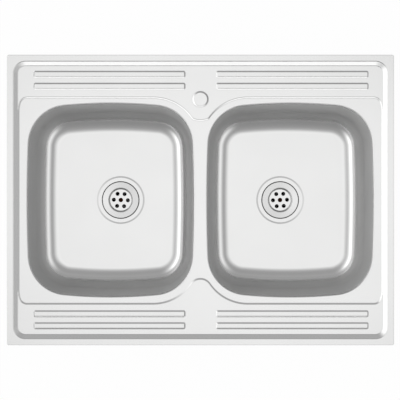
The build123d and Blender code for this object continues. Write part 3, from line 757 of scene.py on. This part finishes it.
def make_waste_body(name, side):
    """The moulded body under the bowl, without what repeats on it."""
    body = Pressing()
    drain = drain_place(side)
    low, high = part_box(name + "_waste_body")
    bottom, top = low.z / MM, high.z / MM
    flange, thickness = WASTE_FLANGE
    cup = WASTE_BORE + WASTE_WALL
    cone_z, neck_z = top - WASTE_CUP_LENGTH, top - WASTE_CUP_LENGTH - WASTE_CONE_HEIGHT
    turned(body, drain, rounded_profile(
        [(OUTLET_RADIUS, bottom), (OUTLET_RADIUS, neck_z), (cup, cone_z), (cup, top - thickness),
         (flange, top - thickness), (flange, top), (WASTE_BORE, top), (WASTE_BORE, cone_z),
         (OUTLET_BORE, neck_z), (OUTLET_BORE, bottom)], WASTE_ROUNDS, True), True)
    hub_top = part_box(name + "_screw_insert")[1].z / MM
    outer, inner = HUB_RADII
    turned(body, drain, rounded_profile(
        [(outer, hub_top - HUB_LENGTH), (outer, hub_top), (inner, hub_top),
         (inner, hub_top - HUB_LENGTH)], HUB_ROUNDS, True), True)
    return body


# ---- nodes of shaders and geometry trees ----
def feed(tree, node, inputs):
    """Gives a node's inputs, as {socket: value}, plain values or other nodes' outputs."""
    for socket, value in inputs.items():
        if isinstance(value, bpy.types.NodeSocket):
            tree.links.new(value, node.inputs[socket])
        else:
            node.inputs[socket].default_value = value


def add_node(tree, kind, inputs, operation=None):
    """A new node with its operation, if it has one, and its inputs."""
    node = tree.nodes.new(kind)
    if operation:
        node.operation = operation
    feed(tree, node, inputs)
    return node


def calculate(tree, operation, *values):
    """What a math node makes of plain values and other nodes' outputs."""
    return add_node(tree, "ShaderNodeMath", dict(enumerate(values)), operation).outputs[0]


def calculate_vector(tree, operation, *values):
    """What a vector math node makes of them, as its outputs Vector and Value."""
    return add_node(tree, "ShaderNodeVectorMath", dict(enumerate(values)), operation).outputs


def new_tree(kind, name, inputs, outputs):
    """An empty node group with inputs and outputs as {label: socket type}. Comes with the outputs
    of the node that gives its inputs, and with the node that takes its results."""
    tree = bpy.data.node_groups.new(name, kind)
    for way, sockets in (("INPUT", inputs), ("OUTPUT", outputs)):
        for label, socket in sockets.items():
            tree.interface.new_socket(label, in_out=way, socket_type="NodeSocket" + socket)
    return tree, tree.nodes.new("NodeGroupInput").outputs, tree.nodes.new("NodeGroupOutput")


# ---- finishes ----
STEEP_BETWEEN = (0.88, 0.50)  # upward part of the normal where a wall begins and is fully steep
MARKS_STRENGTH = 0.5          # how strongly grinding marks and moulded grain show as relief
GRAIN_STRENGTH = 0.6


def grinding_marks():
    """Fine marks that run one way, as a satin or brushed sheet has them. Stretch says how many
    times longer than wide a mark is; the level of the marks comes out between 0 and 1."""
    tree, given, result = new_tree("ShaderNodeTree", "grinding marks",
                                   {"Fineness": "Float", "Stretch": "Float"},
                                   {"Marks": "Float", "Clouds": "Float"})
    place = tree.nodes.new("ShaderNodeTexCoord").outputs["Object"]
    factors = add_node(tree, "ShaderNodeCombineXYZ", {
        "X": calculate(tree, "DIVIDE", 1.0, given["Stretch"]), "Y": 1.0, "Z": 1.0})
    stretched = calculate_vector(tree, "MULTIPLY", place, factors.outputs[0])["Vector"]
    marks = add_node(tree, "ShaderNodeTexNoise", {
        "Vector": stretched, "Scale": given["Fineness"], "Detail": 3.0})
    clouds = add_node(tree, "ShaderNodeTexNoise", {"Vector": place, "Scale": 9.0, "Detail": 4.0})
    feed(tree, result, {"Marks": marks.outputs["Fac"], "Clouds": clouds.outputs["Fac"]})
    return tree


def moulded_grain():
    """The fine leathery grain of a moulded surface and the dust on it, each between 0 and 1."""
    tree, given, result = new_tree("ShaderNodeTree", "moulded grain", {"Fineness": "Float"},
                                   {"Height": "Float", "Dust": "Float"})
    place = tree.nodes.new("ShaderNodeTexCoord").outputs["Object"]
    grain = add_node(tree, "ShaderNodeTexVoronoi", {"Vector": place, "Scale": given["Fineness"]})
    grain.feature = "SMOOTH_F1"
    dust = add_node(tree, "ShaderNodeTexNoise", {"Vector": place, "Scale": 60.0, "Detail": 6.0})
    feed(tree, result, {"Height": grain.outputs["Distance"], "Dust": dust.outputs["Fac"]})
    return tree


GRINDING = grinding_marks()
GRAIN = moulded_grain()


def new_material(name):
    """A material, its tree and its Principled shader, whose own sockets take every constant."""
    material = bpy.data.materials.new(name)
    material.use_nodes = True
    return material, material.node_tree, material.node_tree.nodes["Principled BSDF"]


def grouped(tree, group, inputs):
    """The outputs of a node group with the given inputs."""
    node = tree.nodes.new("ShaderNodeGroup")
    node.node_tree = group
    feed(tree, node, inputs)
    return node.outputs


def spread(tree, source, low, high):
    """Maps a value between 0 and 1 to a narrower range."""
    return add_node(tree, "ShaderNodeMapRange",
                    {"Value": source, "To Min": low, "To Max": high}).outputs["Result"]


def eased(tree, source, limits):
    """Maps a value to another range, with a soft start and a soft end."""
    node = add_node(tree, "ShaderNodeMapRange", {"Value": source, **limits})
    node.interpolation_type = "SMOOTHSTEP"
    return node.outputs["Result"]


def tinted(tree, source, dark, light):
    """Blends two colours by a value between 0 and 1."""
    blend = tree.nodes.new("ShaderNodeMix")
    blend.data_type = "RGBA"
    feed(tree, blend, {"Factor": source, 6: (*dark, 1.0), 7: (*light, 1.0)})
    return blend.outputs[2]


def raised(tree, source, strength, distance):
    """Turns a height between 0 and 1 into a normal."""
    return add_node(tree, "ShaderNodeBump", {
        "Height": source, "Strength": strength, "Distance": distance}).outputs["Normal"]


def show(tree, share, first, second, output):
    """Lets an output show a first shader and, by a share between 0 and 1, a second one."""
    mix = add_node(tree, "ShaderNodeMixShader", {"Fac": share, 1: first, 2: second})
    feed(tree, tree.nodes[output], {"Surface": mix.outputs["Shader"]})


def steepness(tree):
    """How steep the surface is, from 0 where it lies level to 1 where it stands upright."""
    normal = tree.nodes.new("ShaderNodeNewGeometry").outputs["Normal"]
    upward = add_node(tree, "ShaderNodeSeparateXYZ", {0: normal}).outputs["Z"]
    level, steep = STEEP_BETWEEN
    return eased(tree, calculate(tree, "ABSOLUTE", upward), {"From Min": level, "From Max": steep})


def ground_metal(name, dark, light, roughness, fineness, stretch, depth, drawn=0.0):
    """A metal with grinding marks. Roughness is a pair, depth the marks' height in metres, and
    drawn how much rougher the steep walls are, where deep drawing stretched the sheet."""
    material, tree, shader = new_material(name)
    marks = grouped(tree, GRINDING, {"Fineness": fineness, "Stretch": stretch})
    level = spread(tree, marks["Marks"], *roughness)
    if drawn:
        level = calculate(tree, "MULTIPLY_ADD", steepness(tree), drawn, level)
    feed(tree, shader, {
        "Metallic": 1.0, "Base Color": tinted(tree, marks["Clouds"], dark, light),
        "Roughness": level, "Normal": raised(tree, marks["Marks"], MARKS_STRENGTH, depth)})
    return material


def moulded(name, dark, light, roughness, fineness, depth):
    """A moulded plastic or rubber with a fine grain and a little dust in it."""
    material, tree, shader = new_material(name)
    grain = grouped(tree, GRAIN, {"Fineness": fineness})
    feed(tree, shader, {
        "Base Color": tinted(tree, grain["Dust"], dark, light),
        "Roughness": spread(tree, grain["Dust"], *roughness),
        "Normal": raised(tree, grain["Height"], GRAIN_STRENGTH, depth)})
    return material


SHEET_STEEL = ground_metal("satin sheet steel", (0.615, 0.615, 0.613), (0.65, 0.65, 0.648),
                           (0.14, 0.19), 1400.0, 60.0, 0.000002)
# The bowls' steel is a little darker than the deck's: painted shade of the deep bowls. Its rougher
# steep walls are the drawn finish.
DRAWN_AND_SHADED_STEEL = ground_metal("drawn sheet steel with painted shade", (0.60, 0.60, 0.598), (0.635, 0.635, 0.633),
                           (0.14, 0.19), 1400.0, 60.0, 0.000002, drawn=0.60)
STRAINER_STEEL = ground_metal("satin strainer steel", (0.62, 0.62, 0.618), (0.65, 0.65, 0.648),
                              (0.16, 0.22), 2000.0, 12.0, 0.000002)
CLIP_STEEL = ground_metal("zinc plated steel", (0.50, 0.51, 0.54), (0.62, 0.63, 0.65),
                          (0.30, 0.42), 700.0, 3.0, 0.000006)
BRASS = ground_metal("turned brass", (0.62, 0.42, 0.17), (0.74, 0.53, 0.25),
                     (0.25, 0.36), 1800.0, 8.0, 0.000004)
# The strainer screw's near-black colour is painted shade: it stands for the shaded hole in the
# middle of the grid.
SCREW_PAINTED_SHADE = ground_metal("screw in painted shade", (0.009, 0.0022, 0.0008), (0.016, 0.0045, 0.0018),
                      (0.22, 0.32), 1500.0, 2.0, 0.000004)
SEAL_RUBBER = moulded("black seal rubber", (0.018, 0.018, 0.018), (0.034, 0.033, 0.032),
                      (0.55, 0.68), 2200.0, 0.00003)
PAD_RUBBER = moulded("grey damping rubber", (0.075, 0.076, 0.08), (0.12, 0.12, 0.125),
                     (0.75, 0.9), 900.0, 0.0002)
WASTE_PLASTIC = moulded("black waste plastic", (0.018, 0.018, 0.02), (0.036, 0.036, 0.038),
                        (0.38, 0.52), 1600.0, 0.00005)


def finish_cad_nodes():
    """Gives each CAD node that stays in view its finish."""
    for side in SIDES:
        for node, finish in ((side + "_waste_seal", SEAL_RUBBER), (side + "_screw_insert", BRASS),
                             (side + "_strainer_screw", SCREW_PAINTED_SHADE), (side + "_sound_pad", PAD_RUBBER),
                             ("front_" + side + "_clip", CLIP_STEEL),
                             ("back_" + side + "_clip", CLIP_STEEL)):
            mesh = bpy.data.objects[node].data
            mesh.materials.clear()
            mesh.materials.append(finish)


# ---- repeated forms, made with geometry nodes ----
def finish_tree(tree, given, result, geometry):
    """Ends a tree: real geometry, moved to its place, with its material."""
    real = add_node(tree, "GeometryNodeRealizeInstances", {"Geometry": geometry})
    moved = add_node(tree, "GeometryNodeTransform", {
        "Geometry": real.outputs["Geometry"], "Translation": given["Place"]})
    coat = add_node(tree, "GeometryNodeSetMaterial", {
        "Geometry": moved.outputs["Geometry"], "Material": given["Material"]})
    feed(tree, result, {"Geometry": coat.outputs["Geometry"]})
    return tree


def repeated_round():
    """Repeats a mesh round the upright axis."""
    tree, given, result = new_tree(
        "GeometryNodeTree", "repeated round",
        {"Geometry": "Geometry", "Count": "Int", "Start": "Float", "Place": "Vector",
         "Material": "Material"}, {"Geometry": "Geometry"})
    order = tree.nodes.new("GeometryNodeInputIndex").outputs["Index"]
    apart = calculate(tree, "DIVIDE", math.tau, given["Count"])
    angle = calculate(tree, "MULTIPLY_ADD", order, apart, given["Start"])
    turn = add_node(tree, "ShaderNodeCombineXYZ", {"Z": angle})
    places = add_node(tree, "GeometryNodePoints", {"Count": given["Count"]})
    copies = add_node(tree, "GeometryNodeInstanceOnPoints", {
        "Points": places.outputs["Points"], "Instance": given["Geometry"],
        "Rotation": turn.outputs[0]})
    return finish_tree(tree, given, result, copies.outputs["Instances"])


def screw_thread():
    """A ridge that winds up a pipe."""
    tree, given, result = new_tree(
        "GeometryNodeTree", "screw thread",
        {"Geometry": "Geometry", "Turns": "Float", "Radius": "Float", "Height": "Float",
         "Ridge": "Float", "Place": "Vector", "Material": "Material"}, {"Geometry": "Geometry"})
    helix = add_node(tree, "GeometryNodeCurveSpiral", {
        "Resolution": THREAD_POINTS, "Start Radius": given["Radius"],
        "End Radius": given["Radius"], "Rotations": given["Turns"], "Height": given["Height"]})
    upright = tree.nodes.new("GeometryNodeSetCurveNormal")
    upright.mode = "Z_UP"
    feed(tree, upright, {"Curve": helix.outputs["Curve"]})
    section = add_node(tree, "GeometryNodeCurvePrimitiveCircle", {
        "Resolution": RIDGE_CORNERS, "Radius": given["Ridge"]})
    ridge = add_node(tree, "GeometryNodeCurveToMesh", {
        "Curve": upright.outputs["Curve"], "Profile Curve": section.outputs["Curve"],
        "Fill Caps": True})
    return finish_tree(tree, given, result, ridge.outputs["Mesh"])


ROUND_TREE, THREAD_TREE = repeated_round(), screw_thread()


def grown(mesh, tree, **values):
    """The mesh that a geometry tree makes of a mesh with the given inputs."""
    holder = new_object("holder", mesh)
    modifier = holder.modifiers.new(tree.name, "NODES")
    modifier.node_group = tree
    sockets = {item.name: item.identifier for item in tree.interface.items_tree
               if item.in_out == "INPUT"}
    for label, value in values.items():
        modifier[sockets[label.capitalize()]] = value
    view = bpy.context.evaluated_depsgraph_get()
    made = bpy.data.meshes.new_from_object(holder.evaluated_get(view))
    holder.modifiers.remove(modifier)
    bpy.data.objects.remove(holder)
    return made


def rounded_bar(near, size, height):
    """A bar along +X from a distance to the axis, with rounded long edges. Size is its length,
    width and height, and height the level of its middle."""
    length, width, tall = size
    section = [(y, z) for y, z, _, _ in boxed_ring(width / 2, tall / 2, BAR_ROUND, (1, 1))]
    points = [(x * MM, y * MM, (z + height) * MM)
              for x in (near, near + length) for y, z in section]
    count = len(section)
    faces = [(i, (i + 1) % count, count + (i + 1) % count, count + i) for i in range(count)]
    faces += [tuple(reversed(range(count))), tuple(range(count, 2 * count))]
    return plain_mesh("bar", points, faces)


# ---- pieces ----
def put_waste_repeats(name, side):
    """The grip ribs, the spokes of the hub and the pipe thread of a waste body."""
    x, y = (value * MM for value in drain_place(side))
    low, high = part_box(name + "_waste_body")
    hub_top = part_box(name + "_screw_insert")[1].z / MM
    rib_height = WASTE_CUP_LENGTH - WASTE_FLANGE[1]
    rib = rounded_bar(WASTE_BORE + WASTE_WALL - BAR_ROOT, (*GRIP_RIB, rib_height),
                      high.z / MM - WASTE_CUP_LENGTH + rib_height / 2)
    spoke = rounded_bar(HUB_RADII[0] - BAR_ROOT, SPOKE, hub_top - HUB_LENGTH / 2)
    meshes = {
        "grip_ribs": grown(rib, ROUND_TREE, count=GRIP_RIBS, start=math.pi / GRIP_RIBS,
                           place=(x, y, 0.0), material=WASTE_PLASTIC),
        "spokes": grown(spoke, ROUND_TREE, count=SPOKES, start=math.pi / 2,
                        place=(x, y, 0.0), material=WASTE_PLASTIC),
        "outlet_thread": grown(
            bpy.data.meshes.new("thread"), THREAD_TREE, turns=float(THREAD_TURNS),
            radius=OUTLET_RADIUS * MM, height=THREAD_PITCH * THREAD_TURNS * MM,
            ridge=THREAD_RIDGE * MM, place=(x, y, low.z + THREAD_START * MM),
            material=WASTE_PLASTIC)}
    for piece, mesh in meshes.items():
        put(name + "_" + piece, mesh, WASTE_PLASTIC, "waste_plastic")


finish_cad_nodes()
put("pressed_deck", make_deck().thick_mesh(SHEET), SHEET_STEEL, "sheet_steel", "sink_deck")
put("raised_blank", make_blank().thick_mesh(SHEET), SHEET_STEEL, "sheet_steel", "tap_hole_blank")
for side_name, side in SIDES.items():
    put(side_name + "_drawn_bowl", make_bowl(side).thick_mesh(SHEET),
        DRAWN_AND_SHADED_STEEL, "sheet_steel", side_name + "_bowl")
    put(side_name + "_pressed_strainer", make_strainer(side_name, side).thick_mesh(STRAINER_SHEET),
        STRAINER_STEEL, "strainer_steel", side_name + "_strainer")
    put(side_name + "_squeezed_seal", make_seal(side_name, side).mesh(),
        SEAL_RUBBER, "seal_rubber", side_name + "_strainer_seal")
    put(side_name + "_moulded_waste", make_waste_body(side_name, side).mesh(),
        WASTE_PLASTIC, "waste_plastic", side_name + "_waste_body")
    put_waste_repeats(side_name, side)


# ---- camera ----
CAMERA_PLACE = (-0.0009, 0.0, 2.83)  # metres from the middle of the cabinet's top edge
CAMERA_LENS = 122.0
CAMERA_SENSOR = 36.0

camera = new_object("camera", bpy.data.cameras.new("camera"))
camera.location = CAMERA_PLACE
camera.data.lens = CAMERA_LENS
camera.data.sensor_width = CAMERA_SENSOR
bpy.context.scene.camera = camera


# ---- studio ----
FLOOR_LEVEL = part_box("left_waste_body")[0].z
FLOOR_HALF = 6.0              # metres from its middle to its sides
FLOOR_WHITE = 0.86
FLOOR_ROUGHNESS = 0.9
FLOOR_GLOW = 0.97             # how far it shows as plain white, away from the sink
SHADOW_FADE = 110.0           # the shadow under the sink runs out from here inside its edge
SHADOW_REACH = 20.0           # to here outside it

# Each light of the studio: the compass angle that it is centred on, in degrees from the right
# counterclockwise as seen from above, and its brightness by the angle from straight overhead.
STUDIO = {
    "left": (175.0, ((0, 1.42), (9, 1.37), (15, 1.08), (21, 0.84), (26, 0.80), (33, 1.05),
                     (39, 1.55), (44, 2.30), (50, 2.12), (56, 1.02), (61, 0.72), (66, 1.25),
                     (69, 1.60), (73, 2.10), (77, 2.15), (79, 1.15), (84, 1.25), (90, 1.25))),
    "right": (-5.0, ((0, 1.42), (9, 1.37), (17, 1.04), (23, 0.80), (29, 0.58), (35, 0.55),
                     (42, 0.80), (50, 1.28), (56, 1.42), (62, 1.05), (68, 0.74), (72, 0.76),
                     (76, 0.48), (79.5, 0.26), (90, 0.30))),
    "front": (-100.0, ((0, 1.42), (8, 1.33), (13, 0.95), (18, 0.74), (23, 0.60), (30, 0.50),
                       (45, 0.42), (66, 0.38), (70, 0.60), (73, 1.60), (77, 2.10), (90, 2.20))),
    "back": (85.0, ((0, 1.42), (8, 1.33), (13, 0.95), (18, 0.74), (23, 0.58), (30, 0.50),
                    (40, 0.50), (52, 0.57), (60, 0.50), (70, 0.58), (75, 0.66), (82, 0.46),
                    (90, 0.46))),
}
LIGHT_FOCUS = 4.0             # how sharply one light gives way to the next


def make_floor():
    """A white floor that keeps the sink's shadow and shows as white to the camera."""
    mesh = plain_mesh("floor", [(x * FLOOR_HALF, y * FLOOR_HALF, FLOOR_LEVEL)
                                for x, y in ((-1, -1), (1, -1), (1, 1), (-1, 1))], [(0, 1, 2, 3)])
    floor = new_object("floor", mesh)
    material, tree, shader = new_material("white floor")
    feed(tree, shader, {"Base Color": (FLOOR_WHITE, FLOOR_WHITE, FLOOR_WHITE, 1.0),
                        "Roughness": FLOOR_ROUGHNESS})
    place = tree.nodes.new("ShaderNodeTexCoord").outputs["Object"]
    inside = ((HALF_WIDTH - SHADOW_FADE) * MM, (HALF_LENGTH - SHADOW_FADE) * MM, 1.0)
    size = calculate_vector(tree, "ABSOLUTE", place)["Vector"]
    over = calculate_vector(tree, "SUBTRACT", size, inside)["Vector"]
    over = calculate_vector(tree, "MAXIMUM", over, (0.0, 0.0, 0.0))["Vector"]
    reach = calculate_vector(tree, "LENGTH", over)["Value"]
    fade = eased(tree, reach, {"From Max": (SHADOW_FADE + SHADOW_REACH) * MM,
                               "To Max": FLOOR_GLOW})
    path = tree.nodes.new("ShaderNodeLightPath").outputs
    looked = calculate(tree, "MAXIMUM", path["Is Camera Ray"], path["Is Glossy Ray"])
    glow = tree.nodes.new("ShaderNodeEmission").outputs["Emission"]
    show(tree, calculate(tree, "MULTIPLY", looked, fade), shader.outputs["BSDF"], glow,
         "Material Output")
    mesh.materials.append(material)


def make_world():
    """White to the camera; to everything else a studio that is brightest overhead and low down
    on the left and in front."""
    world = bpy.data.worlds.new("studio")
    bpy.context.scene.world = world
    world.use_nodes = True
    tree = world.node_tree
    way = tree.nodes.new("ShaderNodeTexCoord").outputs["Generated"]
    up = add_node(tree, "ShaderNodeSeparateXYZ", {0: way}).outputs["Z"]
    tilt = calculate(tree, "DIVIDE", calculate(tree, "ARCCOSINE", up), math.pi / 2)
    level_way = calculate_vector(tree, "MULTIPLY", way, (1.0, 1.0, 0.0))["Vector"]
    compass_way = calculate_vector(tree, "NORMALIZE", level_way)["Vector"]
    total, weights = 0.0, 0.0
    for compass, levels in STUDIO.values():
        table = add_node(tree, "ShaderNodeValToRGB", {"Fac": tilt})
        stops = table.color_ramp.elements
        stops.remove(stops[1])
        for angle, level in levels:
            stop = stops.new(angle / 90) if angle else stops[0]
            stop.color = (level, level, level, 1.0)
        middle = (*polar((0, 0), 1.0, compass), 0.0)
        facing = calculate_vector(tree, "DOT_PRODUCT", compass_way, middle)["Value"]
        weight = calculate(tree, "POWER", calculate(tree, "MAXIMUM", facing, 0.0), LIGHT_FOCUS)
        light = calculate(tree, "MULTIPLY", weight, table.outputs["Color"])
        weights = calculate(tree, "ADD", weights, weight)
        total = calculate(tree, "ADD", total, light)
    room = tree.nodes["Background"]
    feed(tree, room, {"Color": calculate(tree, "DIVIDE", total, weights), "Strength": 1.0})
    white = add_node(tree, "ShaderNodeBackground", {"Color": (1.0, 1.0, 1.0, 1.0)})
    path = tree.nodes.new("ShaderNodeLightPath").outputs
    show(tree, path["Is Camera Ray"], room.outputs["Background"], white.outputs["Background"],
         "World Output")


make_floor()
make_world()
bpy.context.scene.view_settings.view_transform = "Standard"
